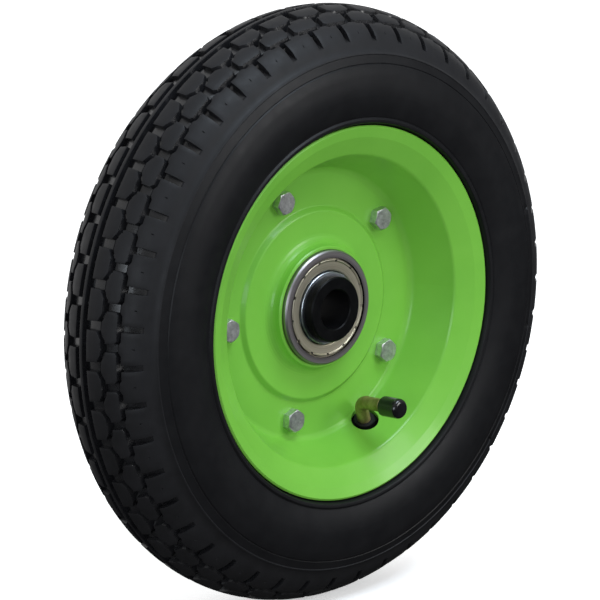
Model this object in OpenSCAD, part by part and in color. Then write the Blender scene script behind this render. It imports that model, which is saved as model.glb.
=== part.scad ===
// Pneumatic wheelbarrow wheel: 3.50-8 tyre and tube on a bolted two-piece pressed steel rim,
// turning on two shielded deep-groove ball bearings with flanged bushes for a fixed axle.
// The part is drawn with its axle along Z and its front face up, and each node is then laid
// over so that the axle runs along Y, the front (bolt heads and valve) faces -Y and +Z is up.
// Heights (h) are measured along the axle from the mid-plane, and clock angles from the top,
// clockwise as seen from the front.

/* [Tyre] */
// Radius over the crown of the tread
tyre_r = 187.3; // [186:0.1:190]
// Radius of the tread's crown across the tyre
crown_r = 36; // [34:0.5:39]
// Depth of the grooves that run round the tread
groove_depth = 4; // [2:0.5:5]
// Thickness of the carcass under the tread grooves
carcass = 7.4; // [6:0.1:8]
// Radius of the steel wire in each bead
bead_wire_r = 2.8; // [2:0.1:3]
// Wall thickness of the inner tube
tube_wall = 2.2; // [1.5:0.1:3]

/* [Rim] */
// Radius over the rim's flanges
flange_r = 117; // [116.6:0.1:117.4]
// Distance from the mid-plane to the flange's lip
flange_h = 40.5; // [40:0.1:41]
// Thickness of the pressed sheet
sheet = 3; // [2.5:0.1:3]
// Height of the raised ring around the hub, on the visible side
plateau_h = 5.8; // [5:0.1:6.5]
// Distance from the mid-plane to the edge of the bearing collar
collar_h = 13.8; // [13:0.1:15]

/* [Rim bolts] */
// Radius of the bolt circle
bolt_circle_r = 73.3; // [71:0.1:75]
// Clock angle of the first bolt
bolt_clock = -21.4; // [-30:0.1:-15]
// Thread diameter
bolt_d = 8; // [8:0.1:8.4]
// Hexagon size across flats
hex_af = 13; // [12:0.5:14]
// Length under the head
bolt_length = 16; // [15.5:0.5:20]

/* [Bearings] */
// Bore of the ball bearing
bearing_bore = 35; // [34.8:0.1:35]
// Outside diameter of the ball bearing
bearing_od = 72; // [71.6:0.1:72]
// Width of the ball bearing
bearing_w = 17; // [16.5:0.1:17.5]
// Ball diameter
ball_d = 11.11; // [10.8:0.01:11.15]
// Diameter of the circle through the ball centres
pitch_d = 53.5; // [53.3:0.1:53.7]
// Number of balls in each bearing
ball_count = 9; // [7:1:9]

/* [Axle bushes] */
// Bore for the fixed axle
axle_bore = 25; // [20:0.5:28]
// Diameter of the bush flange
bush_flange_d = 41; // [38:0.1:43]
// Distance from the mid-plane to the outer face of the bush flange
bush_h = 23.7; // [20:0.1:25]

/* [Valve] */
// Clock angle of the valve
valve_clock = 154; // [150:0.5:158]
// Diameter of the valve hole in the rim
valve_hole_d = 17.4; // [15:0.1:18]
// Outside diameter of the bent brass stem
stem_d = 8.4; // [8:0.1:9]
// Bend radius of the stem's centre line
stem_bend_r = 9; // [8:0.5:10]
// Outside diameter of the screw cap
cap_d = 12.8; // [12:0.1:13.4]
// Length of the screw cap
cap_length = 16; // [15:0.1:17]

/* [Hidden] */
bolt_count = 5;
$fn = 72;
eps = 0.01;

// ---- outlines --------------------------------------------------------------------------

function unit(v) = v / norm(v);
function turn_of(a, b, c) = (b - a).x * (c - b).y - (b - a).y * (c - b).x;
function left_of(a, b) = [-(b - a).y, (b - a).x] / norm(b - a);
function arc(centre, r, a0, a1, n) =
    [for (i = [0:n]) centre + r * [cos(a0 + (a1 - a0) * i / n), sin(a0 + (a1 - a0) * i / n)]];

// the arc that rounds the corner at b, between a and c
function fillet(a, b, c, r, n) =
    let (u = unit(a - b), v = unit(c - b), half = acos(u * v) / 2,
         centre = b + unit(u + v) * r / sin(half),
         first = b + u * r / tan(half) - centre,
         last = b + v * r / tan(half) - centre,
         a0 = atan2(first.y, first.x),
         sweep = (atan2(last.y, last.x) - a0 + 900) % 360 - 180)
    arc(centre, r, a0, a0 + sweep, n);

// an open outline with each inner corner rounded to its own radius
function rounded(pts, radii, n = 6) = [
    for (i = [0:len(pts) - 1])
        each (i == 0 || i == len(pts) - 1 || radii[i] == 0)
            ? [pts[i]]
            : fillet(pts[i - 1], pts[i], pts[i + 1], radii[i], n)
];

// the same corners moved to the left of the outline by t, and the radii that go with them
function shifted(pts, t) = [
    for (i = [0:len(pts) - 1])
        let (n1 = left_of(pts[max(i - 1, 0)], pts[max(i, 1)]),
             n2 = left_of(pts[min(i, len(pts) - 2)], pts[min(i + 1, len(pts) - 1)]))
        pts[i] + t * (n1 + n2) / (1 + n1 * n2)
];
function shifted_radii(pts, radii, t) = [
    for (i = [0:len(pts) - 1])
        (i == 0 || i == len(pts) - 1 || radii[i] == 0)
            ? 0
            : max(0, radii[i] - t * sign(turn_of(pts[i - 1], pts[i], pts[i + 1])))
];
function reversed(list) = [for (i = [len(list) - 1:-1:0]) list[i]];
function flipped(list) = [for (p = reversed(list)) [p.x, -p.y]];

module to_row() rotate([90, 0, 0]) children();
module side(back) mirror([0, 0, back ? 1 : 0]) children();
module at_clock(clock, r = 0) rotate([0, 0, 90 - clock]) translate([r, 0, 0]) children();

// ---- rim -------------------------------------------------------------------------------

// corners of one pressing's visible side, as [radius, height]: lip, flange, bead seat, disc,
// step, raised ring and bearing collar
disc_h = sheet;
step_r = 60.5;
collar_foot_r = 39;
collar_top_r = 38.4;
rim_face = [
    [flange_r, flange_h], [109.4, 37.5], [97.7, 30.8], [85.7, disc_h],
    [step_r + 1.4, disc_h], [step_r - 1.4, plateau_h], [collar_foot_r, plateau_h],
    [collar_top_r, collar_h]
];
rim_face_radii = [0, 3, 4, 5, 2, 2, 6.5, 0];
collar_ease = 0.7;
seat_r = bearing_od / 2;
rim_back_all = shifted(rim_face, sheet);
rim_back_radii = shifted_radii(rim_face, rim_face_radii, sheet);
lip_back = [flange_r, flange_h - sheet - 0.2];

// the outline of the pressing's hidden side, from the lip to the bearing seat
rim_hidden = rounded([
        lip_back, rim_back_all[1], rim_back_all[2], rim_back_all[3], rim_back_all[4],
        rim_back_all[5], [seat_r, rim_back_all[6].y], [seat_r, collar_h - 0.5]
    ], [
        0, rim_back_radii[1], rim_back_radii[2], rim_back_radii[3], rim_back_radii[4],
        rim_back_radii[5], 6.5, 0
    ]);

module rim_half() {
    face = rounded(rim_face, rim_face_radii);
    difference() {
        rotate_extrude()
            polygon(concat(
                [[flange_r, flange_h - 1.2], [flange_r - 1.2, flange_h - 0.4]],
                [for (i = [1:len(face) - 2]) face[i]],
                [[collar_top_r, collar_h - collar_ease], [collar_top_r - collar_ease, collar_h],
                 [seat_r + 0.5, collar_h]],
                reversed(rim_hidden)));
        for (i = [0:bolt_count - 1])
            at_clock(bolt_clock + 360 * i / bolt_count, bolt_circle_r)
                cylinder(h = 4 * sheet, d = bolt_d + 1, center = true);
    }
}

module rim_front() color("limegreen") to_row()
    difference() {
        rim_half();
        at_clock(valve_clock) along(hole_centre, hole_tilt)
            cylinder(h = 6 * sheet, d = valve_hole_d, center = true);
    }
module rim_back() color("limegreen") to_row() side(true) rim_half();

// ---- tyre and tube ---------------------------------------------------------------------

// a point on the tyre side of the rim's sloping wall at height h, moved out by some distance
wall_dir = unit(rim_back_all[2] - rim_back_all[3]);
function on_wall(h, out) =
    rim_back_all[3] + wall_dir * (h - rim_back_all[3].y) / wall_dir.y
        + out * [wall_dir.y, -wall_dir.x];

function crown(h) = tyre_r - crown_r + sqrt(crown_r * crown_r - h * h);

// ribs of the tread on one side of the centre, as [inner, outer] height
ribs = [[0, 1.2], [4.9, 13.3], [15.8, 22.8]];
shoulder_start = 24.7;
crown_end = 23.1;
shoulder = [163.2, 41.4];
toe_h = 15;
rib_steps = 3;

tyre_side = concat(
    [for (rib = ribs) each concat(
        rib[0] > 0 ? [[crown(rib[0]) - groove_depth, rib[0]]] : [],
        [for (i = [0:rib_steps])
            let (h = rib[0] + (rib[1] - rib[0]) * i / rib_steps) [crown(h), h]],
        [[crown(rib[1]) - groove_depth, rib[1]]])],
    [[crown(crown_end) - groove_depth - 1, shoulder_start]],
    rounded([
        [crown(crown_end) - 1.4, shoulder_start], shoulder, [155, 43.4], [147, 45.2], [130, 44.4],
        [122.4, 41.4], [121, 42.4], [118.9, 42], [118.2, 40], lip_back
    ], [0, 10, 30, 12, 30, 0.5, 0.6, 0.8, 0.8, 0], 4));

cavity_r = tyre_r - groove_depth - carcass;
tyre_bead = rounded(concat([lip_back], [rim_back_all[1], rim_back_all[2]], [on_wall(toe_h, 0)]),
                    [0, rim_back_radii[1], rim_back_radii[2], 0]);
tyre_cavity = rounded([
        on_wall(toe_h, 0), [100.5, 15.4], [111.5, 22.8], [114.5, 33], [122, 37.3], [147, 38.4],
        [162.5, 34], [cavity_r - 0.6, 14], [cavity_r, 0]
    ], [0, 2, 5, 8, 30, 20, 22, 30, 0], 4);
bead_wire_at = [104.2, 23.6];

module tyre() color([0.09, 0.09, 0.1]) to_row()
    difference() {
        rotate_extrude()
            polygon(concat(
                flipped(tyre_side), tyre_side,
                [for (i = [1:len(tyre_bead) - 1]) tyre_bead[i]],
                [for (i = [1:len(tyre_cavity) - 1]) tyre_cavity[i]],
                [for (p = reversed(tyre_cavity)) if (p.y > eps) [p.x, -p.y]],
                [for (i = [len(tyre_bead) - 2:-1:1]) [tyre_bead[i].x, -tyre_bead[i].y]]));
        for (back = [false, true])
            side(back) bead_wire();
    }

module bead_wire()
    rotate_extrude()
        translate(bead_wire_at) circle(r = bead_wire_r);

module bead_wire_front() color("darkgoldenrod") to_row() bead_wire();
module bead_wire_back() color("darkgoldenrod") to_row() side(true) bead_wire();

tube_gap = 0.5;
patch_thickness = 1.6;
patch_gap = 0.4;
tube_seat = patch_gap + patch_thickness;
tube_half = [
    [cavity_r - tube_gap, 0], [cavity_r - tube_gap - 0.8, 13.6], [161.8, 33.2], [147, 37.6],
    [122.5, 36.5], [115.6, 32.4], [112.4, 22], on_wall(14.4, tube_seat + 2.5),
    on_wall(13, tube_seat), on_wall(3.5, tube_seat), [on_wall(3.5, tube_seat).x - 0.5, 0]
];
tube_radii = [0, 28, 20, 18, 24, 7, 6, 2, 1, 4, 0];

module tube_ring(inset)
    rotate_extrude() {
        half = rounded(shifted(tube_half, inset), shifted_radii(tube_half, tube_radii, inset), 4);
        polygon(concat(half, [for (p = reversed(half)) if (p.y > eps) [p.x, -p.y]]));
    }

module inner_tube() color([0.16, 0.16, 0.17]) to_row()
    difference() {
        tube_ring(0);
        tube_ring(tube_wall);
        at_clock(valve_clock) along(stem_foot, leg_tilt)
            cylinder(h = 30, d = stem_bore_d, center = true);
    }

// ---- rim fasteners ---------------------------------------------------------------------

head_h = 5.3;
nut_h = 6.5;
washer_h = 2;
thread_pitch = 1.25;
thread_depth = 0.6;
hex_r = hex_af / sqrt(3);
fastener_turn = 17;

// a hexagon with its corners eased at the top, and at the bottom too if both is true
module hexagon(h, both = false) {
    ease = hex_r - hex_af / 2 + 0.1;
    drop = ease * 0.58;
    intersection() {
        cylinder(h = h, r = hex_r, $fn = 6);
        rotate_extrude()
            polygon([
                [0, 0], [both ? hex_r - ease : hex_r + 1, 0], [both ? hex_r : hex_r + 1, both ? drop : 0],
                [hex_r, h - drop], [hex_r - ease, h], [0, h]
            ]);
    }
}

module at_bolt(i)
    at_clock(bolt_clock + 360 * (i - 1) / bolt_count, bolt_circle_r)
        rotate([0, 0, fastener_turn * i]) children();

// the shank's lower part carries ring grooves in place of a helical thread
module rim_bolt(i) color([0.72, 0.73, 0.75]) to_row() at_bolt(i) {
    r = bolt_d / 2 - 0.05;
    tip = sheet - bolt_length;
    turns = floor((bolt_length - 2 * sheet - 1) / thread_pitch);
    translate([0, 0, sheet]) hexagon(head_h);
    rotate_extrude()
        polygon(concat(
            [[0, sheet], [r, sheet], [r, tip + 1 + turns * thread_pitch]],
            [for (k = [turns - 1:-1:0]) each [
                [r - thread_depth, tip + 1 + (k + 0.5) * thread_pitch],
                [r, tip + 1 + k * thread_pitch]]],
            [[r - 0.9, tip], [0, tip]]));
}

module rim_nut(i) color([0.72, 0.73, 0.75]) to_row() at_bolt(i)
    translate([0, 0, -sheet - washer_h - nut_h])
        difference() {
            hexagon(nut_h, both = true);
            translate([0, 0, -1]) cylinder(h = nut_h + 2, d = bolt_d);
            for (z = [-eps, nut_h - 0.7 + eps])
                translate([0, 0, z])
                    cylinder(h = 0.7, d1 = bolt_d + (z < 0 ? 1.2 : 0), d2 = bolt_d + (z < 0 ? 0 : 1.2));
        }

washer_od = 14.8;
washer_split = 1.6;
module lock_washer(i) color([0.55, 0.56, 0.58]) to_row() at_bolt(i)
    translate([0, 0, -sheet - washer_h])
        difference() {
            cylinder(h = washer_h, d = washer_od);
            translate([0, 0, -1]) cylinder(h = washer_h + 2, d = bolt_d + 0.3);
            translate([washer_od / 2, 0, washer_h / 2]) rotate([25, 0, 0])
                cube([washer_od - bolt_d + 2, washer_split, 4 * washer_h], center = true);
        }

// ---- bearings --------------------------------------------------------------------------

race_groove_r = ball_d / 2 + 0.06;
ball_h = bearing_w / 2;
ball_clock = 7;
race_angle = 52;
land = race_groove_r * cos(race_angle);
inner_race_angle = 42.5;
inner_land = race_groove_r * cos(inner_race_angle);
edge = 1;
shield_seat_r = 31.3;
shield_seat_depth = 2;

// each race is cut away by the groove in which the balls run
module outer_race() {
    lo = 0;
    hi = bearing_w;
    rotate_extrude()
        polygon(concat(
            [[seat_r - edge, lo], [seat_r, lo + edge], [seat_r, hi - edge], [seat_r - edge, hi],
             [shield_seat_r, hi], [shield_seat_r, hi - shield_seat_depth],
             [pitch_d / 2 + land, hi - shield_seat_depth - 0.6]],
            arc([pitch_d / 2, ball_h], race_groove_r, race_angle, -race_angle, 12),
            [[pitch_d / 2 + land, lo + shield_seat_depth + 0.6],
             [shield_seat_r, lo + shield_seat_depth], [shield_seat_r, lo]]));
}
module inner_race() {
    bore = bearing_bore / 2;
    shoulder_r = pitch_d / 2 - inner_land;
    rotate_extrude()
        polygon(concat(
            [[bore, edge], [bore + edge, 0], [shoulder_r - 0.3, 0], [shoulder_r, 0.3]],
            arc([pitch_d / 2, ball_h], race_groove_r,
                -180 + inner_race_angle, -180 - inner_race_angle, 12),
            [[shoulder_r, bearing_w - 0.3], [shoulder_r - 0.3, bearing_w],
             [bore + edge, bearing_w], [bore, bearing_w - edge]]));
}

module at_ball(k) at_clock(ball_clock + 360 * k / ball_count, pitch_d / 2)
    translate([0, 0, ball_h]) rotate([0, 90, 0]) children();

module balls()
    for (k = [0:ball_count - 1])
        at_ball(k) sphere(d = ball_d);

// a riveted ribbon cage: two wavy strips that close round the balls
cage_t = 0.8;
cage_w = 2.9;
cage_play = 0.12;
rivet_d = 1.8;
module cage() {
    difference() {
        intersection() {
            translate([0, 0, ball_h])
                difference() {
                    cylinder(h = ball_d + 4 * cage_t, r = (pitch_d + cage_w) / 2, center = true);
                    cylinder(h = ball_d + 6 * cage_t, r = (pitch_d - cage_w) / 2, center = true);
                }
            union() {
                translate([0, 0, ball_h - cage_t])
                    cylinder(h = 2 * cage_t, r = pitch_d / 2 + cage_w);
                for (k = [0:ball_count - 1])
                    at_ball(k) sphere(r = ball_d / 2 + cage_play + cage_t);
            }
        }
        for (k = [0:ball_count - 1])
            at_ball(k) sphere(r = ball_d / 2 + cage_play);
    }
    for (k = [0:ball_count - 1])
        at_clock(ball_clock + 360 * (k + 0.5) / ball_count, pitch_d / 2)
            translate([0, 0, ball_h]) cylinder(h = 2 * cage_t + 1, d = rivet_d, center = true);
}

// a pressed sheet ring, crimped into the outer race and clear of the inner one
shield_t = 0.4;
shield_notches = 13;
shield_notch = 1.8;
shield_clock = 13.6;
module shield() {
    face = [
        [shield_seat_r, bearing_w - shield_seat_depth + shield_t + 0.05],
        [30.5, bearing_w - 1.5], [30.3, bearing_w - 0.25], [29.5, bearing_w - 0.25],
        [29.1, bearing_w - 0.7], [23.9, bearing_w - 0.9], [23.3, bearing_w - 1.6]
    ];
    radii = [0, 0.3, 0.3, 0.3, 0.4, 0.5, 0];
    difference() {
        rotate_extrude()
            polygon(concat(
                rounded(face, radii, 4),
                reversed(rounded(shifted(face, shield_t), shifted_radii(face, radii, shield_t), 4))));
        for (k = [0:shield_notches - 1])
            at_clock(shield_clock + 360 * k / shield_notches, 30.5)
                translate([0, 0, bearing_w]) cube([3, shield_notch, 3], center = true);
    }
}

module front_outer_race() color([0.6, 0.6, 0.62]) to_row() outer_race();
module front_inner_race() color([0.75, 0.76, 0.78]) to_row() inner_race();
module front_balls() color([0.85, 0.86, 0.88]) to_row() balls();
module front_cage() color([0.6, 0.55, 0.45]) to_row() cage();
module front_shield_outer() color([0.78, 0.75, 0.62]) to_row() shield();
module front_shield_inner() color([0.78, 0.75, 0.62]) to_row() inner_side() shield();
module back_outer_race() color([0.6, 0.6, 0.62]) to_row() side(true) outer_race();
module back_inner_race() color([0.75, 0.76, 0.78]) to_row() side(true) inner_race();
module back_balls() color([0.85, 0.86, 0.88]) to_row() side(true) balls();
module back_cage() color([0.6, 0.55, 0.45]) to_row() side(true) cage();
module back_shield_outer() color([0.78, 0.75, 0.62]) to_row() side(true) shield();
module back_shield_inner() color([0.78, 0.75, 0.62]) to_row() side(true) inner_side() shield();

// carries a shield to the bearing's other face, the one at the mid-plane
module inner_side() translate([0, 0, bearing_w]) mirror([0, 0, 1]) children();

// ---- axle bushes -----------------------------------------------------------------------

bush_ease = 0.8;
mouth_ease = 0.6;
module bush() {
    bore = axle_bore / 2;
    barrel = bearing_bore / 2;
    flange = bush_flange_d / 2;
    rotate_extrude()
        polygon([
            [bore, 0], [barrel - 0.5, 0], [barrel, 0.5], [barrel, bearing_w],
            [flange, bearing_w], [flange, bush_h - bush_ease], [flange - bush_ease, bush_h],
            [bore + mouth_ease, bush_h], [bore, bush_h - mouth_ease]
        ]);
}
module bush_front() color([0.1, 0.1, 0.1]) to_row() bush();
module bush_back() color([0.1, 0.1, 0.1]) to_row() side(true) bush();

// ---- valve -----------------------------------------------------------------------------

// points and directions in the plane of the wheel's axis and the valve, as [radius, height];
// a tilt is counted from straight in towards the axle, towards the front
hole_centre = [88.3, 10.5];
hole_tilt = 25;
leg_tilt = 12;
end_tilt = 86;
leg_start = [86.3, 10];
leg_length = 5.8;
stem_run = 15;
stem_bore_d = 3;
thread_d = 7.7;
thread_length = 10.4;
thread_runout = 1.6;
foot_d = 13;
foot_overlap = 4.4;

function towards(tilt) = [-cos(tilt), sin(tilt)];
stem_foot = leg_start - foot_overlap * towards(leg_tilt);
bend_start = leg_start + leg_length * towards(leg_tilt);
bend_centre = bend_start + stem_bend_r * [sin(leg_tilt), cos(leg_tilt)];
bend_end = bend_centre - stem_bend_r * [sin(end_tilt), cos(end_tilt)];
cap_foot = bend_end + stem_run * towards(end_tilt);
stem_tip = cap_foot + thread_length * towards(end_tilt);

module along(p, tilt)
    translate([p.x, 0, p.y]) rotate([0, tilt - 90, 0]) children();

core_d = 5.2;
core_length = 9;
core_head = 1;
valve_pitch = 0.8;
valve_thread_depth = 0.35;

// a leg, a bend and a run that ends in the thread; the bend is a little fatter than its
// neighbours, which reach into it
bend_swell = 0.1;
bend_reach = 0.3;
module stem_bend(r)
    translate([bend_centre.x, 0, bend_centre.y])
        rotate([90, 0, 0]) rotate([0, 0, 270 - end_tilt])
            rotate_extrude(angle = end_tilt - leg_tilt)
                translate([stem_bend_r, 0]) circle(r = r);

module stem_body() {
    outer = stem_d / 2;
    crest = thread_d / 2;
    tip = stem_run + thread_length;
    turns = floor((thread_length - 0.8) / valve_pitch);
    along(stem_foot, leg_tilt) cylinder(h = foot_overlap + leg_length + bend_reach, r = outer);
    stem_bend(outer + bend_swell);
    along(bend_end, end_tilt)
        rotate_extrude()
            polygon(concat(
                [[0, -bend_reach], [outer, -bend_reach],
                 [outer, stem_run - thread_runout - 0.4], [crest, stem_run - thread_runout]],
                [for (k = [turns - 1:-1:0]) each [
                    [crest, tip - 0.5 - (k + 1) * valve_pitch],
                    [crest - valve_thread_depth, tip - 0.5 - (k + 0.5) * valve_pitch]]],
                [[crest, tip - 0.5], [crest - 0.5, tip], [0, tip]]));
}

// the air passage, which widens into the chamber that holds the core
module stem_passage() {
    bore = stem_bore_d / 2;
    tip = stem_run + thread_length;
    along(stem_foot, leg_tilt)
        translate([0, 0, -1]) cylinder(h = foot_overlap + leg_length + 1 + bend_reach, r = bore);
    stem_bend(bore + bend_swell);
    along(bend_end, end_tilt)
        rotate_extrude()
            polygon([
                [0, -bend_reach], [bore, -bend_reach], [bore, tip - core_length],
                [core_d / 2, tip - core_length], [core_d / 2, tip + 1], [0, tip + 1]
            ]);
}

module valve_stem() color([0.72, 0.6, 0.32]) to_row() at_clock(valve_clock)
    difference() {
        stem_body();
        stem_passage();
    }

// the rubber foot: a patch on the tube and a stub round the stem, which fills part of the hole
patch_angle = 22;
patch_low = 3.6;
patch_high = 12.9;
module valve_base() color([0.12, 0.12, 0.13]) to_row() at_clock(valve_clock)
    difference() {
        union() {
            rotate([0, 0, -patch_angle / 2])
                rotate_extrude(angle = patch_angle)
                    polygon([
                        on_wall(patch_low, patch_gap), on_wall(patch_high, patch_gap),
                        on_wall(patch_high, tube_seat), on_wall(patch_low, tube_seat)
                    ]);
            along(foot_centre, foot_tilt)
                cylinder(h = foot_height, d = foot_d);
        }
        along(stem_foot, leg_tilt) cylinder(h = 30, d = stem_d);
        along(stem_foot, leg_tilt) cylinder(h = 40, d = stem_bore_d, center = true);
    }
foot_tilt = atan2(wall_dir.x, wall_dir.y);
foot_centre = on_wall(8.6, patch_gap + patch_thickness / 2);
foot_height = sheet + patch_gap + patch_thickness / 2 + 0.4;

// the core is a brass plug with a seal at its inner end and a sprung pin through it
core_bore_d = 2;
pin_d = 1.5;
pin_head_d = 3.4;
pin_travel = 1.2;
core_body_length = core_length - core_head - 2.4;
module in_core() along(stem_tip - core_length * towards(end_tilt), end_tilt) children();

module valve_core() color([0.8, 0.68, 0.36]) to_row() at_clock(valve_clock) in_core()
    translate([0, 0, core_length - core_head - core_body_length])
        difference() {
            cylinder(h = core_body_length, d = core_d);
            translate([0, 0, -1]) cylinder(h = core_body_length + 2, d = core_bore_d);
            translate([0, 0, 1.4]) cylinder(h = core_body_length, d = spring_d + 0.7);
        }

module valve_core_seal() color([0.55, 0.16, 0.12]) to_row() at_clock(valve_clock) in_core()
    translate([0, 0, core_length - core_head - core_body_length - 0.6])
        difference() {
            cylinder(h = 0.6, d = core_d);
            translate([0, 0, -1]) cylinder(h = 3, d = core_bore_d);
        }

// the pin pulls a small disc up against the seal; pressing it in opens the valve
module valve_pin() color([0.82, 0.82, 0.84]) to_row() at_clock(valve_clock) in_core() {
    disc_top = core_length - core_head - core_body_length - 0.65;
    translate([0, 0, disc_top - 0.5]) cylinder(h = 0.5, d = pin_head_d);
    translate([0, 0, disc_top - eps]) cylinder(h = core_length - 0.6 - disc_top, d = pin_d);
    translate([0, 0, core_length - 1.6]) cylinder(h = 0.5, d = 2.7);
}

// a wire coil between the plug's floor and the pin's collar
spring_d = 2.7;
spring_wire = 0.3;
spring_turns = 4;
spring_sides = 8;
spring_rings = 56;
spring_low = core_length - core_head - core_body_length + 1.4 + 0.2;
spring_high = core_length - 1.6 - 0.2;
function coil_centre(i) =
    let (a = 360 * spring_turns * i / spring_rings, r = (spring_d - spring_wire) / 2)
    [r * cos(a), r * sin(a), spring_low + (spring_high - spring_low) * i / spring_rings];
module valve_spring() color([0.7, 0.7, 0.72]) to_row() at_clock(valve_clock) in_core()
    polyhedron(
        points = [
            for (i = [0:spring_rings]) for (k = [0:spring_sides - 1])
                let (a = 360 * spring_turns * i / spring_rings, b = 360 * k / spring_sides,
                     w = spring_wire / 2)
                coil_centre(i) + w * [cos(b) * cos(a), cos(b) * sin(a), sin(b)]
        ],
        faces = concat(
            [[for (k = [0:spring_sides - 1]) k]],
            [for (i = [0:spring_rings - 1]) for (k = [0:spring_sides - 1])
                let (n = (k + 1) % spring_sides, s = spring_sides)
                [i * s + k, (i + 1) * s + k, (i + 1) * s + n, i * s + n]],
            [[for (k = [spring_sides - 1:-1:0]) spring_rings * spring_sides + k]]));

cap_play = 0.1;
cap_round = 3;
seal_t = 1;
module valve_cap() color([0.08, 0.08, 0.09]) to_row() at_clock(valve_clock)
    along(cap_foot, end_tilt)
        difference() {
            rotate_extrude() {
                r = cap_d / 2;
                polygon(concat(
                    [[0, 0], [r - 0.7, 0], [r, 0.9]],
                    arc([r - cap_round, cap_length - cap_round], cap_round, 0, 90, 9),
                    [[0, cap_length]]));
            }
            translate([0, 0, -1])
                cylinder(h = thread_length + seal_t + 1, d = thread_d + 2 * cap_play);
        }

module valve_cap_seal() color([0.5, 0.5, 0.48]) to_row() at_clock(valve_clock)
    along(cap_foot, end_tilt) translate([0, 0, thread_length + 0.02])
        cylinder(h = seal_t - 0.02, d = thread_d + 2 * cap_play);

// ---- the nodes -------------------------------------------------------------------------

tyre();
bead_wire_front();
bead_wire_back();
inner_tube();
rim_front();
rim_back();
for (i = [1:bolt_count]) {
    rim_bolt(i);
    rim_nut(i);
    lock_washer(i);
}
front_outer_race();
front_inner_race();
front_balls();
front_cage();
front_shield_outer();
front_shield_inner();
back_outer_race();
back_inner_race();
back_balls();
back_cage();
back_shield_outer();
back_shield_inner();
bush_front();
bush_back();
valve_base();
valve_stem();
valve_core();
valve_core_seal();
valve_pin();
valve_spring();
valve_cap();
valve_cap_seal();
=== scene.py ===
"""Looks for the pneumatic wheelbarrow wheel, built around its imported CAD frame.

The axle runs along Y, the front faces -Y and +Z is up. Sizes below are in millimetres; mesh code
places points by clock angle (from the top, clockwise seen from the front), radius from the axle and
height along the axle from the mid-plane towards the front.
"""

import math

import bpy
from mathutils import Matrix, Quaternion, Vector


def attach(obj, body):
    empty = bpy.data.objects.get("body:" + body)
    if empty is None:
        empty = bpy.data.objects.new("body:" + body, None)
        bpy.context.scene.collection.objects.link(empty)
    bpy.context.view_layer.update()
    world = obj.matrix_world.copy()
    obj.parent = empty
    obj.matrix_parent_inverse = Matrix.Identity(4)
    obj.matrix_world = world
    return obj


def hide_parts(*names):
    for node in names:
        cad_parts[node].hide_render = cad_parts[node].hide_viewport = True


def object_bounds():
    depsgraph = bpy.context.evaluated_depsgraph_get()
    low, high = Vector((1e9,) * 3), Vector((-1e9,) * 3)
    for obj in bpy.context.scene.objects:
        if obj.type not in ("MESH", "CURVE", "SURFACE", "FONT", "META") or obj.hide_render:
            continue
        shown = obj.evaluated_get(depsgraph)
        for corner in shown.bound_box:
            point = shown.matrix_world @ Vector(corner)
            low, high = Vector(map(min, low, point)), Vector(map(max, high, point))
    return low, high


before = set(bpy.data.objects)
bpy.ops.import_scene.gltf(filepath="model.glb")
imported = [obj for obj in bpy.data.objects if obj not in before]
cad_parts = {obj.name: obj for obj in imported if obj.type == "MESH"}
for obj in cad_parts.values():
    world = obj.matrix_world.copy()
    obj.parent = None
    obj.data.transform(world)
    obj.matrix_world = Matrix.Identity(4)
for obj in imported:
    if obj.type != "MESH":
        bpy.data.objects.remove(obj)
cad_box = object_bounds()
MM = 0.001


# ---- mesh helpers ---------------------------------------------------------------------------

def at(clock, r, h):
    """The point at a clock angle in radians, a radius and a height, in metres."""
    return (r * math.sin(clock) * MM, -h * MM, r * math.cos(clock) * MM)


def link_mesh(name, points, faces, sharp_angle=35):
    """A smooth-shaded mesh object, with its edges sharper than sharp_angle kept crisp."""
    mesh = bpy.data.meshes.new(name)
    mesh.from_pydata(points, [], faces)
    mesh.validate()
    for polygon in mesh.polygons:
        polygon.use_smooth = True
    mesh.set_sharp_from_angle(angle=math.radians(sharp_angle))
    piece = bpy.data.objects.new(name, mesh)
    bpy.context.scene.collection.objects.link(piece)
    return piece


def along_steps(steps, x):
    """Straight-line interpolation in a list of (x, y) steps."""
    for (x0, y0), (x1, y1) in zip(steps, steps[1:]):
        if x <= x1:
            return y0 + (y1 - y0) * (x - x0) / (x1 - x0)
    return steps[-1][1]


def rounded(corners, radii, steps=5):
    """An open outline with its inner corners rounded by arcs."""
    outline = [Vector(corners[0])]
    for before, corner, after, radius in zip(corners, corners[1:], corners[2:], radii):
        before, corner, after = Vector(before), Vector(corner), Vector(after)
        if radius == 0:
            outline.append(corner)
            continue
        into, out = (before - corner).normalized(), (after - corner).normalized()
        half = math.acos(max(-1, min(1, into.dot(out)))) / 2
        centre = corner + (into + out).normalized() * radius / math.sin(half)
        first = corner + into * radius / math.tan(half) - centre
        last = corner + out * radius / math.tan(half) - centre
        sweep = first.angle_signed(last)
        for k in range(steps + 1):
            turn = -sweep * k / steps
            cosine, sine = math.cos(turn), math.sin(turn)
            spoke = Vector((first.x * cosine - first.y * sine, first.x * sine + first.y * cosine))
            outline.append(centre + spoke)
    outline.append(Vector(corners[-1]))
    return outline


# ---- tyre -----------------------------------------------------------------------------------

# the tread's outer surface: an arc of CROWN_R, stretched sideways, to CURVE_END, then a curve
TYRE_R = 187.3
CROWN_R = 36
WIDTH = 1.04
CURVE_END = 22.9
TREAD_END, TREAD_END_R = 37.2, 162.6
TREAD_END_SLOPE = -2.6

# the tread repeats PITCHES times round the tyre
PITCHES = 47
PITCH = 2 * math.pi * TYRE_R / PITCHES
FIRST_SLOT = math.radians(-0.19)

# depths of the grooves, of the ties that cross them and of the slots in the shoulder
CENTRE_DEPTH = 5.2
DEEP = 5
TIE_DEPTH = 2.6
SHALLOW = 3.2
SLOT_DEPTH = 5
SLOT_START, SLOT_END = 25, 34.6
GROOVE_RUBBER_DEPTH = 1.5
LEAN = 0.7

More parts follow.
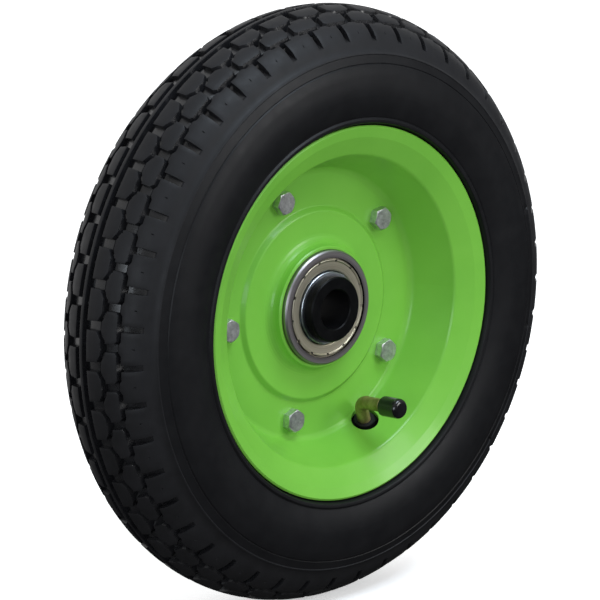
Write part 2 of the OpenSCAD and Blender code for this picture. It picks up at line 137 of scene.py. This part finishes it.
# a block's edge drops by EDGE_DROP over BEVEL, and its wall leans out by DRAFT
EDGE_DROP = 0.14
BEVEL = 0.35
DRAFT = 0.35

# rows round the tyre: the centre rib, the first row of blocks, and zigzags as (height, swing)
RIB = 1.2
FIRST_ROW = 4.8
ZIGZAG = {1: (14.4, 1.2), 2: (23.6, 0.6)}
GROOVE_HALF = {1: 1.45, 2: 1.2}
DIMPLE_ROWS = (30.6, 31.2, 31.8)
DIMPLE_DEPTH = 1.4

# rows of the sidewall that keep the tread's rubber, and the notches in the line round it
RIDGE_ROWS = 18
TICKS = [math.radians(clock) for clock in (74.2, 101.9, 129.6)]
TICK_REACH = (159.7, 162.7)
TICK_DEPTH = 1.3
TICK_HALF = 1.1

# half the width of a lateral groove by height: at the pitch line, and half a pitch from it
GROOVE_AT_PITCH = [(0, 2.6), (3.9, 2.75), (13.9, 3.3), (16.5, 2.9), (24, 2.3), (38, 2.0)]
GROOVE_BETWEEN = [(0, 1.1), (12, 1.1), (14, 2.5), (23.4, 2.75), (27, 0.7), (38, 0.7)]

# mesh lines across a block, and a zigzag's share of its swing, by distance from the pitch line
INNER_LINE = 5.4
OUTER_LINE = 7.9
BLOCK_COLUMN = [(0, PITCH / 2 - INNER_LINE), (3.9, OUTER_LINE), (38, OUTER_LINE)]
ZIGZAG_SHARE = {
    1: [(0, -1), (3.1, -1), (OUTER_LINE, 1), (PITCH, 1)],
    2: [(0, 1), (OUTER_LINE, 1), (PITCH / 2 - 2.7, -1), (PITCH, -1)],
}

# material slots of the tyre
TREAD, GROOVE, WALL = range(3)


def crown(h):
    """Radius of the tread's surface on its arc."""
    return TYRE_R - CROWN_R + math.sqrt(CROWN_R ** 2 - (h / WIDTH) ** 2)


def surface(h):
    """Radius of the tread's outer surface: an arc over the crown, then a curve to the shoulder."""
    if h <= CURVE_END:
        return crown(h)
    span = TREAD_END - CURVE_END
    t = (h - CURVE_END) / span
    x = CURVE_END / WIDTH
    slope_in = -x / math.sqrt(CROWN_R ** 2 - x ** 2) / WIDTH * span
    slope_out = TREAD_END_SLOPE * span
    return ((2 * t ** 3 - 3 * t ** 2 + 1) * crown(CURVE_END) + (t ** 3 - 2 * t ** 2 + t) * slope_in
            + (3 * t ** 2 - 2 * t ** 3) * TREAD_END_R + (t ** 3 - t ** 2) * slope_out)


def sunk(h, depth):
    """Radius of a point that lies depth under the tread's surface, deeper where it slopes."""
    step = 0.05
    slope = (surface(h + step) - surface(abs(h - step))) / (2 * step) if h > step else 0
    return surface(h) - depth * math.hypot(1, LEAN * slope)


def tread_columns(h):
    """Distances of one pitch's mesh lines from its pitch line, on a tread surface at height h."""
    low, high = along_steps(GROOVE_AT_PITCH, h), along_steps(GROOVE_BETWEEN, h)
    half = PITCH / 2
    side = [low - DRAFT, low, low + BEVEL, INNER_LINE, along_steps(BLOCK_COLUMN, h),
            half - high - BEVEL, half - high, half - high + DRAFT]
    return [0, *side, half, *[PITCH - u for u in reversed(side)]]


COLUMNS = len(tread_columns(0))


def zigzag_height(zigzag, u):
    """Height of the zigzag line that separates two rows of blocks, u from the pitch line."""
    middle, swing = ZIGZAG[zigzag]
    return middle + swing * along_steps(ZIGZAG_SHARE[zigzag], min(u, PITCH - u))


def tread_place(height, zigzag, column):
    """Height of a tread point and its distance from the pitch line, on its row's zigzag if any."""
    if not zigzag:
        return height, tread_columns(height)[column]
    h = height + zigzag_height(zigzag, tread_columns(ZIGZAG[zigzag][0])[column])
    return h, tread_columns(h)[column]


def block_edges(zigzag, side):
    """Rows at the edge of a block against a zigzag groove; side is -1 inside it and 1 outside."""
    half = GROOVE_HALF[zigzag]
    band = zigzag if side < 0 else zigzag + 1
    rows = [(side * (half + BEVEL), zigzag, 0, band), (side * half, zigzag, EDGE_DROP, band),
            (side * (half - DRAFT), zigzag, DEEP, 0)]
    return rows if side < 0 else rows[::-1]


# rows of the tread on one side: (height, zigzag it is measured from, depth, band of blocks)
TREAD_ROWS = [
    (0, 0, 0, 0), (RIB - 0.3, 0, 0, 0), (RIB, 0, EDGE_DROP, 0),
    (RIB + DRAFT, 0, CENTRE_DEPTH, 0), (FIRST_ROW - DRAFT, 0, CENTRE_DEPTH, 0),
    (FIRST_ROW, 0, EDGE_DROP, 1), (FIRST_ROW + BEVEL, 0, 0, 1),
    (7, 0, 0, 1), (9.6, 0, 0, 1),
    *block_edges(1, -1), (0, 1, DEEP, 0), *block_edges(1, 1),
    (18.6, 0, 0, 2), (20.6, 0, 0, 2),
    *block_edges(2, -1), *block_edges(2, 1),
    *[(h, 0, 0, 3) for h in (27.2, 29.2, *DIMPLE_ROWS, 33.4, SLOT_END, 36, TREAD_END)],
]


def groove_depth(band, column, h):
    """Depth that a lateral groove gives a point in a band of blocks."""
    if band == 0:
        return 0
    from_groove = min(column, COLUMNS - column) if band != 2 else abs(column - COLUMNS // 2)
    floor = SHALLOW
    if band == 3:
        floor = max(0, SLOT_DEPTH * (1 - ((h - SLOT_START) / (SLOT_END - SLOT_START)) ** 2))
    if from_groove > 2:
        return 0
    return min(EDGE_DROP, floor) if from_groove == 2 else floor


def tie_depth(zigzag, row_depth, column):
    """Most depth that a groove round the tyre has at a column: less on the ties that cross it."""
    middle = abs(column - COLUMNS // 2)
    if row_depth == CENTRE_DEPTH and middle <= 1:
        return TIE_DEPTH
    if row_depth == DEEP and zigzag == 1 and middle in (4, 5):
        return TIE_DEPTH
    return CENTRE_DEPTH


# the sidewall from the tread's end to the rim's flange, as [radius, height]
SIDEWALL = rounded([
    (TREAD_END_R, TREAD_END), (161.6, 38.6), (161.2, 39.2), (160.7, 39.4), (160.4, 39.0),
    (155.6, 41.1), (155.0, 40.8), (154.4, 41.6),
    (150, 43.1), (140, 44.4), (130, 43.9), (122.8, 41.6), (122.1, 41.1),
    (121, 42.2), (119, 42), (118.2, 40.2), (117.7, 37.3)
], [0.3, 0.2, 0.2, 0.3, 0.2, 0.2, 0.4, 25, 45, 45, 0.8, 0.3, 0.6, 0.7, 0.8], 4)
# the hidden side: along the rim, round the bead's toe and inside the casing
CASING = rounded([
    (117.7, 37.3), (110.6, 34.2), (100.1, 28.1), (94.7, 15.3), (100.5, 15.4), (111.5, 22.8),
    (114.5, 33), (122, 37.3), (147, 38.4), (162.5, 34), (176.4, 14), (177, 0)
], [8, 8, 1, 2, 5, 8, 30, 20, 22, 30], 3)[1:]


def ticked(clock, r):
    """A sidewall point's clock angle and depth, where short notches cross the shoulder's line."""
    if not TICK_REACH[0] < r < TICK_REACH[1]:
        return clock, 0
    nearest = min(TICKS, key=lambda tick: abs(clock - tick))
    step = 2 * math.pi / (PITCHES * COLUMNS // 2)
    away = (clock - nearest) / step
    if abs(away) <= 0.5:
        return nearest, TICK_DEPTH
    if abs(away) <= 1.5:
        return nearest + math.copysign(TICK_HALF / r, away), 0
    return clock, 0


def tyre_rows(back):
    """Rows of points round one half of the tyre, from the crown to the middle of the casing."""
    sign = -1 if back else 1
    turn = COLUMNS // 2 if back else 0
    rows, depths = [], []
    for height, zigzag, row_depth, band in TREAD_ROWS:
        row, row_depths = [], []
        for k in range(PITCHES * COLUMNS):
            pitch, column = divmod(k + turn, COLUMNS)
            pitch -= 0.5 if back else 0
            h, u = tread_place(height, zigzag, column)
            depth = max(row_depth, groove_depth(band, column, h))
            depth = min(depth, tie_depth(zigzag, row_depth, column))
            if band == 3 and height == DIMPLE_ROWS[1] and column == COLUMNS // 2:
                depth = DIMPLE_DEPTH
            row.append(at(FIRST_SLOT + (pitch + u / PITCH) * 2 * math.pi / PITCHES,
                          sunk(h, depth), sign * h))
            row_depths.append(depth)
        rows.append(row)
        depths.append(row_depths)
    half_columns = PITCHES * COLUMNS // 2
    for r, h in [*SIDEWALL[1:], *CASING]:
        row = []
        for k in range(half_columns):
            clock, depth = FIRST_SLOT + 2 * math.pi * k / half_columns, 0
            if not back:
                clock, depth = ticked(clock, r)
            row.append(at(clock, r - depth, sign * (h - depth)))
        rows.append(row)
        depths.append(None)
    return rows, depths


def strip_faces(near, far):
    """Faces between two closed rows of points; the far row may have half as many."""
    n, m = len(near), len(far)
    if n == m:
        return [(near[k], near[(k + 1) % n], far[(k + 1) % n], far[k]) for k in range(n)]
    faces = []
    for k in range(m):
        a, b, c = near[2 * k], near[2 * k + 1], near[(2 * k + 2) % n]
        d, e = far[k], far[(k + 1) % m]
        faces += [(a, b, d), (b, e, d), (b, c, e)]
    return faces


def in_groove(near, far):
    """Whether each face between two rows of depths lies in a groove."""
    n = len(near)
    return [max(near[k], near[(k + 1) % n], far[k], far[(k + 1) % n]) > GROOVE_RUBBER_DEPTH
            for k in range(n)]


def tyre_mesh():
    """The whole tyre as one closed surface, with tread blocks, grooves, sidewalls and casing."""
    points, faces, slots, front_index = [], [], [], []
    for back in (False, True):
        rows, depths = tyre_rows(back)
        index = []
        for i, row in enumerate(rows):
            shared = back and i in (0, len(rows) - 1)
            if shared:
                index.append(front_index[i])
            else:
                index.append(list(range(len(points), len(points) + len(row))))
                points.extend(row)
        if not back:
            front_index = index
        for i, (near, far) in enumerate(zip(index, index[1:])):
            strip = strip_faces(near, far)
            faces += [face[::-1] for face in strip] if back else strip
            if depths[i + 1] is not None:
                slots += [GROOVE if low else TREAD for low in in_groove(depths[i], depths[i + 1])]
            else:
                slot = TREAD if i < len(TREAD_ROWS) + RIDGE_ROWS else WALL
                slots += [slot] * len(strip)
    made = link_mesh("tyre_rubber", points, faces, 32)
    for polygon, slot in zip(made.data.polygons, slots):
        polygon.material_index = slot
    return made


# ---- materials ------------------------------------------------------------------------------

class Nodes:
    """A node tree, with short ways to add to it."""

    def __init__(self, tree):
        self.tree = tree

    def node(self, kind, **values):
        made = self.tree.nodes.new(kind)
        for key, value in values.items():
            if key in made.inputs:
                made.inputs[key].default_value = value
            else:
                setattr(made, key, value)
        return made

    def link(self, a, b):
        self.tree.links.new(a, b)

    def split(self, vector):
        """The X, Y and Z outputs of a vector."""
        made = self.node("ShaderNodeSeparateXYZ")
        self.link(vector, made.inputs[0])
        return made.outputs

    def span(self, value, low, high, to_low=0.0, to_high=1.0, kind="LINEAR"):
        """A value mapped from low..high to to_low..to_high."""
        made = self.node("ShaderNodeMapRange", interpolation_type=kind)
        for key, number in (("From Min", low), ("From Max", high),
                            ("To Min", to_low), ("To Max", to_high)):
            made.inputs[key].default_value = number
        self.link(value, made.inputs["Value"])
        return made.outputs["Result"]

    def compute(self, operation, *values):
        """The result of a Math node; each value is an output or a number."""
        made = self.node("ShaderNodeMath", operation=operation)
        for socket, value in zip(made.inputs, values):
            if isinstance(value, (int, float)):
                socket.default_value = value
            else:
                self.link(value, socket)
        return made.outputs[0]


class Paint(Nodes):
    """A Principled material with the few node patterns that the parts share."""

    def __init__(self, name, **sockets):
        self.material = bpy.data.materials.new(name)
        self.material.use_nodes = True
        super().__init__(self.material.node_tree)
        self.shader = self.tree.nodes["Principled BSDF"]
        for socket, value in sockets.items():
            self.shader.inputs[socket.replace("_", " ")].default_value = value
        self.coordinates = self.node("ShaderNodeTexCoord").outputs["Object"]
        self.last_bump = None

    def noise(self, scale, detail=4, rough=0.55, vector=None):
        made = self.node("ShaderNodeTexNoise", Scale=scale, Detail=detail, Roughness=rough)
        self.link(vector or self.coordinates, made.inputs["Vector"])
        return made.outputs["Fac"]

    def rings(self):
        """Distance from the axle and place along it, for patterns that run round it."""
        flat = self.node("ShaderNodeVectorMath", operation="MULTIPLY")
        flat.inputs[1].default_value = (1, 0, 1)
        self.link(self.coordinates, flat.inputs[0])
        length = self.node("ShaderNodeVectorMath", operation="LENGTH")
        self.link(flat.outputs[0], length.inputs[0])
        combined = self.node("ShaderNodeCombineXYZ")
        self.link(length.outputs["Value"], combined.inputs["X"])
        self.link(self.split(self.coordinates)["Y"], combined.inputs["Y"])
        return combined.outputs[0]

    def colours(self, value, stops):
        """Base colour from a value, by colour stops of (position, (r, g, b))."""
        ramp = self.node("ShaderNodeValToRGB")
        elements = ramp.color_ramp.elements
        while len(elements) < len(stops):
            elements.new(0.5)
        for element, (position, colour) in zip(elements, stops):
            element.position = position
            element.color = (*colour, 1)
        self.link(value, ramp.inputs["Fac"])
        self.link(ramp.outputs["Color"], self.shader.inputs["Base Color"])
        return ramp.outputs["Color"]

    def roughness(self, value, low, high, to_low, to_high):
        self.link(self.span(value, low, high, to_low, to_high), self.shader.inputs["Roughness"])

    def bump(self, height, depth_mm, strength=1.0):
        made = self.node("ShaderNodeBump", Strength=strength, Distance=depth_mm * MM)
        self.link(height, made.inputs["Height"])
        if self.last_bump:
            self.link(self.last_bump, made.inputs["Normal"])
        self.last_bump = made.outputs["Normal"]
        self.link(self.last_bump, self.shader.inputs["Normal"])


def rubber(name, dark, light, smooth, dull, grain, shine):
    """Black rubber; its roughness runs from smooth to dull, and its grain is grain mm deep."""
    paint = Paint(name, Specular_IOR_Level=shine)
    paint.colours(paint.noise(55, 6, 0.6), [(0.3, dark), (0.7, light)])
    paint.roughness(paint.noise(140, 5, 0.6), 0.3, 0.7, smooth, dull)
    paint.bump(paint.noise(2600, 3, 0.6), grain)
    paint.bump(paint.noise(260, 3, 0.5), grain * 2, 0.5)
    return paint.material


def rim_paint():
    """Green powder coat, a little uneven."""
    paint = Paint("rim_paint", Coat_Weight=0.3, Coat_Roughness=0.15, Specular_IOR_Level=0.25)
    paint.colours(paint.noise(18, 5, 0.55),
                  [(0.3, (0.15, 0.435, 0.045)), (0.7, (0.18, 0.485, 0.055))])
    paint.roughness(paint.noise(90, 4), 0.3, 0.7, 0.32, 0.42)
    paint.bump(paint.noise(420, 2, 0.4), 0.05, 0.5)
    return paint.material


def zinc():
    """Zinc-plated steel, mottled."""
    paint = Paint("zinc_steel", Metallic=0.95)
    paint.colours(paint.noise(420, 6, 0.65), [(0.3, (0.46, 0.47, 0.48)), (0.7, (0.84, 0.85, 0.86))])
    paint.roughness(paint.noise(700, 4), 0.3, 0.7, 0.28, 0.5)
    paint.bump(paint.noise(1500, 4, 0.6), 0.06)
    return paint.material


def ground_steel(name, dark, light, smooth, dull, recess_r=0):
    """Turned steel; darkened inside recess_r by painted shade."""
    paint = Paint(name, Metallic=1.0)
    rings = paint.rings()
    colour = paint.colours(paint.noise(900, 4, 0.6, rings), [(0.3, dark), (0.7, light)])
    if recess_r:
        # painted shade: the colour inside recess_r is scaled down, fading back to full over edge mm
        painted_shade_level, edge = 0.04, 0.2
        radius = paint.split(rings)["X"]
        painted_shade_scale = paint.span(radius, recess_r * MM, (recess_r + edge) * MM, painted_shade_level, 1)
        shade = paint.node("ShaderNodeVectorMath", operation="SCALE")
        paint.link(colour, shade.inputs[0])
        paint.link(painted_shade_scale, shade.inputs["Scale"])
        paint.link(shade.outputs[0], paint.shader.inputs["Base Color"])
    paint.roughness(paint.noise(1600, 3, 0.6, rings), 0.3, 0.7, smooth, dull)
    paint.bump(paint.noise(5200, 2, 0.5, rings), 0.01)
    return paint.material


def nylon():
    """Nearly black nylon."""
    paint = Paint("bush_nylon", Specular_IOR_Level=0.1)
    paint.colours(paint.noise(120, 4),
                  [(0.3, (0.0015, 0.0015, 0.002)), (0.7, (0.004, 0.004, 0.0045))])
    paint.roughness(paint.noise(320, 4), 0.3, 0.7, 0.36, 0.48)
    paint.bump(paint.noise(2400, 3), 0.02)
    return paint.material


def brass():
    """Dulled brass."""
    paint = Paint("valve_brass", Metallic=0.9)
    paint.colours(paint.noise(210, 6, 0.65),
                  [(0.3, (0.2, 0.15, 0.06)), (0.7, (0.52, 0.41, 0.2))])
    paint.roughness(paint.noise(420, 5), 0.3, 0.7, 0.42, 0.6)
    paint.bump(paint.noise(1400, 4), 0.03)
    return paint.material


def cap_plastic():
    """Shiny black plastic."""
    paint = Paint("cap_plastic", Specular_IOR_Level=0.6)
    paint.colours(paint.noise(200, 3), [(0.3, (0.005, 0.005, 0.006)), (0.7, (0.01, 0.01, 0.011))])
    paint.roughness(paint.noise(160, 3), 0.3, 0.7, 0.13, 0.22)
    paint.bump(paint.noise(3000, 2), 0.004)
    return paint.material


# ---- the object -----------------------------------------------------------------------------

def dress(names, material):
    """Gives the CAD nodes one material in all their slots."""
    for name in names:
        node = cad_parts[name]
        node.data.materials.clear()
        node.data.materials.append(material)


rubbers = [
    rubber("tread_rubber", (0.009, 0.009, 0.01), (0.013, 0.013, 0.015), 0.46, 0.6, 0.03, 0.25),
    rubber("groove_rubber", (0.008, 0.008, 0.009), (0.013, 0.013, 0.015), 0.22, 0.34, 0.02, 0.75),
    rubber("sidewall_rubber", (0.006, 0.006, 0.007), (0.009, 0.009, 0.01), 0.38, 0.48, 0.015, 0.2),
]
tyre = tyre_mesh()
for material in rubbers:
    tyre.data.materials.append(material)
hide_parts("tyre")
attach(tyre, "wheel")

every = sorted(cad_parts)
steel = zinc()
dress(["rim_front", "rim_back"], rim_paint())
dress([n for n in every if n.startswith(("rim_bolt", "rim_nut", "lock_washer"))], steel)
# the outer races are darkened inside 31.45 mm by painted shade in their recess
dress([n for n in every if n.endswith("outer_race")],
      ground_steel("race_outer", (0.2, 0.18, 0.19), (0.46, 0.43, 0.45), 0.34, 0.5, 31.45))
dress([n for n in every if n.endswith(("inner_race", "balls"))],
      ground_steel("race_inner", (0.42, 0.45, 0.5), (0.62, 0.66, 0.72), 0.3, 0.42))
# the steel's warm cream tint on the shields and cages is a painted reflection of warm surroundings
dress([n for n in every if "shield" in n or n.endswith("cage")],
      ground_steel("shield_steel", (0.62, 0.57, 0.42), (0.86, 0.81, 0.66), 0.34, 0.48))
dress(["bush_front", "bush_back"], nylon())
dress(["valve_stem", "valve_core"], brass())
dress(["valve_cap"], cap_plastic())
dress(["valve_base", "inner_tube", "valve_cap_seal", "valve_core_seal"], rubbers[WALL])
dress(["valve_pin", "valve_spring", "bead_wire_front", "bead_wire_back"], steel)


# ---- stage, lights and camera ---------------------------------------------------------------

# what matt surfaces get from the floor and the world, over what glossy ones mirror
MATT_FILL_FLOOR = 0.5
MATT_FILL_SKY = 0.32


def floor():
    """A pale floor; what the rubber mirrors of it is dim in front of the wheel and pale behind."""
    size, back = 6.0, 4.0
    low = cad_box[0].z
    points = [(-size, -size, low), (size, -size, low), (size, back, low), (-size, back, low)]
    made = link_mesh("floor", points, [(0, 1, 2, 3)])
    paint = Paint("floor_paper", Roughness=0.9, Specular_IOR_Level=0.1,
                  Emission_Color=(1, 1, 1, 1), Emission_Strength=0.45)
    paint.colours(paint.noise(3, 2), [(0.3, (0.86, 0.86, 0.86)), (0.7, (0.9, 0.9, 0.9))])
    mirrored = paint.span(paint.split(paint.coordinates)["Y"], 0.15, 0.8, 0.03, 0.9)
    path = paint.node("ShaderNodeLightPath").outputs
    dim = paint.node("ShaderNodeEmission", Color=(1, 1, 1, 1))
    paint.link(paint.compute("MULTIPLY_ADD", path["Is Diffuse Ray"], MATT_FILL_FLOOR, mirrored),
               dim.inputs["Strength"])
    mix = paint.node("ShaderNodeMixShader")
    paint.link(path["Is Camera Ray"], mix.inputs[0])
    paint.link(dim.outputs[0], mix.inputs[1])
    paint.link(paint.shader.outputs[0], mix.inputs[2])
    paint.link(mix.outputs[0], paint.tree.nodes["Material Output"].inputs["Surface"])
    made.data.materials.append(paint.material)


def area_light(name, place, size, power, colour=(1, 1, 1)):
    """A soft rectangular light that aims at the wheel's middle."""
    light = bpy.data.lights.new(name, "AREA")
    light.shape = "RECTANGLE"
    light.size, light.size_y = size
    light.energy = power
    light.color = colour
    made = bpy.data.objects.new(name, light)
    made.location = place
    made.rotation_euler = (-Vector(place)).to_track_quat("-Z", "Y").to_euler()
    bpy.context.scene.collection.objects.link(made)


def sky():
    """A dim studio with a pale backdrop behind the wheel; the camera sees white all round."""
    world = bpy.data.worlds.new("studio")
    world.use_nodes = True
    nodes = Nodes(world.node_tree)
    background = nodes.tree.nodes["Background"]
    background.inputs["Color"].default_value = (1, 1, 1, 1)
    direction = nodes.split(nodes.node("ShaderNodeTexCoord").outputs["Generated"])
    behind = nodes.span(direction["Y"], -0.2, 0.8, 0.1, 0.75, "SMOOTHSTEP")
    above = nodes.span(direction["Z"], 0.1, 1.0, 0.0, 0.35)
    mirrored = nodes.compute("ADD", behind, above)
    path = nodes.node("ShaderNodeLightPath").outputs
    filled = nodes.compute("MULTIPLY_ADD", path["Is Diffuse Ray"], MATT_FILL_SKY, mirrored)
    nodes.link(nodes.compute("MAXIMUM", filled, path["Is Camera Ray"]),
               background.inputs["Strength"])
    bpy.context.scene.world = world


def camera():
    """The photograph's camera, aimed at the wheel's middle."""
    azimuth, elevation, roll = (math.radians(angle) for angle in (-43.8, 13.28, 0.07))
    distance = 2.577
    back = Vector((math.sin(azimuth) * math.cos(elevation),
                   -math.cos(azimuth) * math.cos(elevation), math.sin(elevation)))
    lens = bpy.data.cameras.new("camera")
    lens.sensor_width = 36
    lens.lens = 248.9
    lens.shift_x, lens.shift_y = -0.0154, 0.0055
    lens.clip_start, lens.clip_end = 0.1, 50
    made = bpy.data.objects.new("camera", lens)
    made.location = back * distance
    level = (-back).to_track_quat("-Z", "Y")
    made.rotation_euler = (level @ Quaternion((0, 0, 1), roll)).to_euler()
    bpy.context.scene.collection.objects.link(made)
    bpy.context.scene.camera = made


floor()
sky()
area_light("key", (1.18, -2.4, 0.8), (0.8, 1.2), 23)
area_light("window", (-2.4, -1.75, 0.45), (1.9, 0.9), 22, (0.84, 0.92, 1.0))
area_light("overhead", (0.3, -1.25, 2.2), (1.3, 1.0), 40, (0.76, 0.88, 1.0))
camera()
bpy.context.scene.view_settings.view_transform = "Standard"
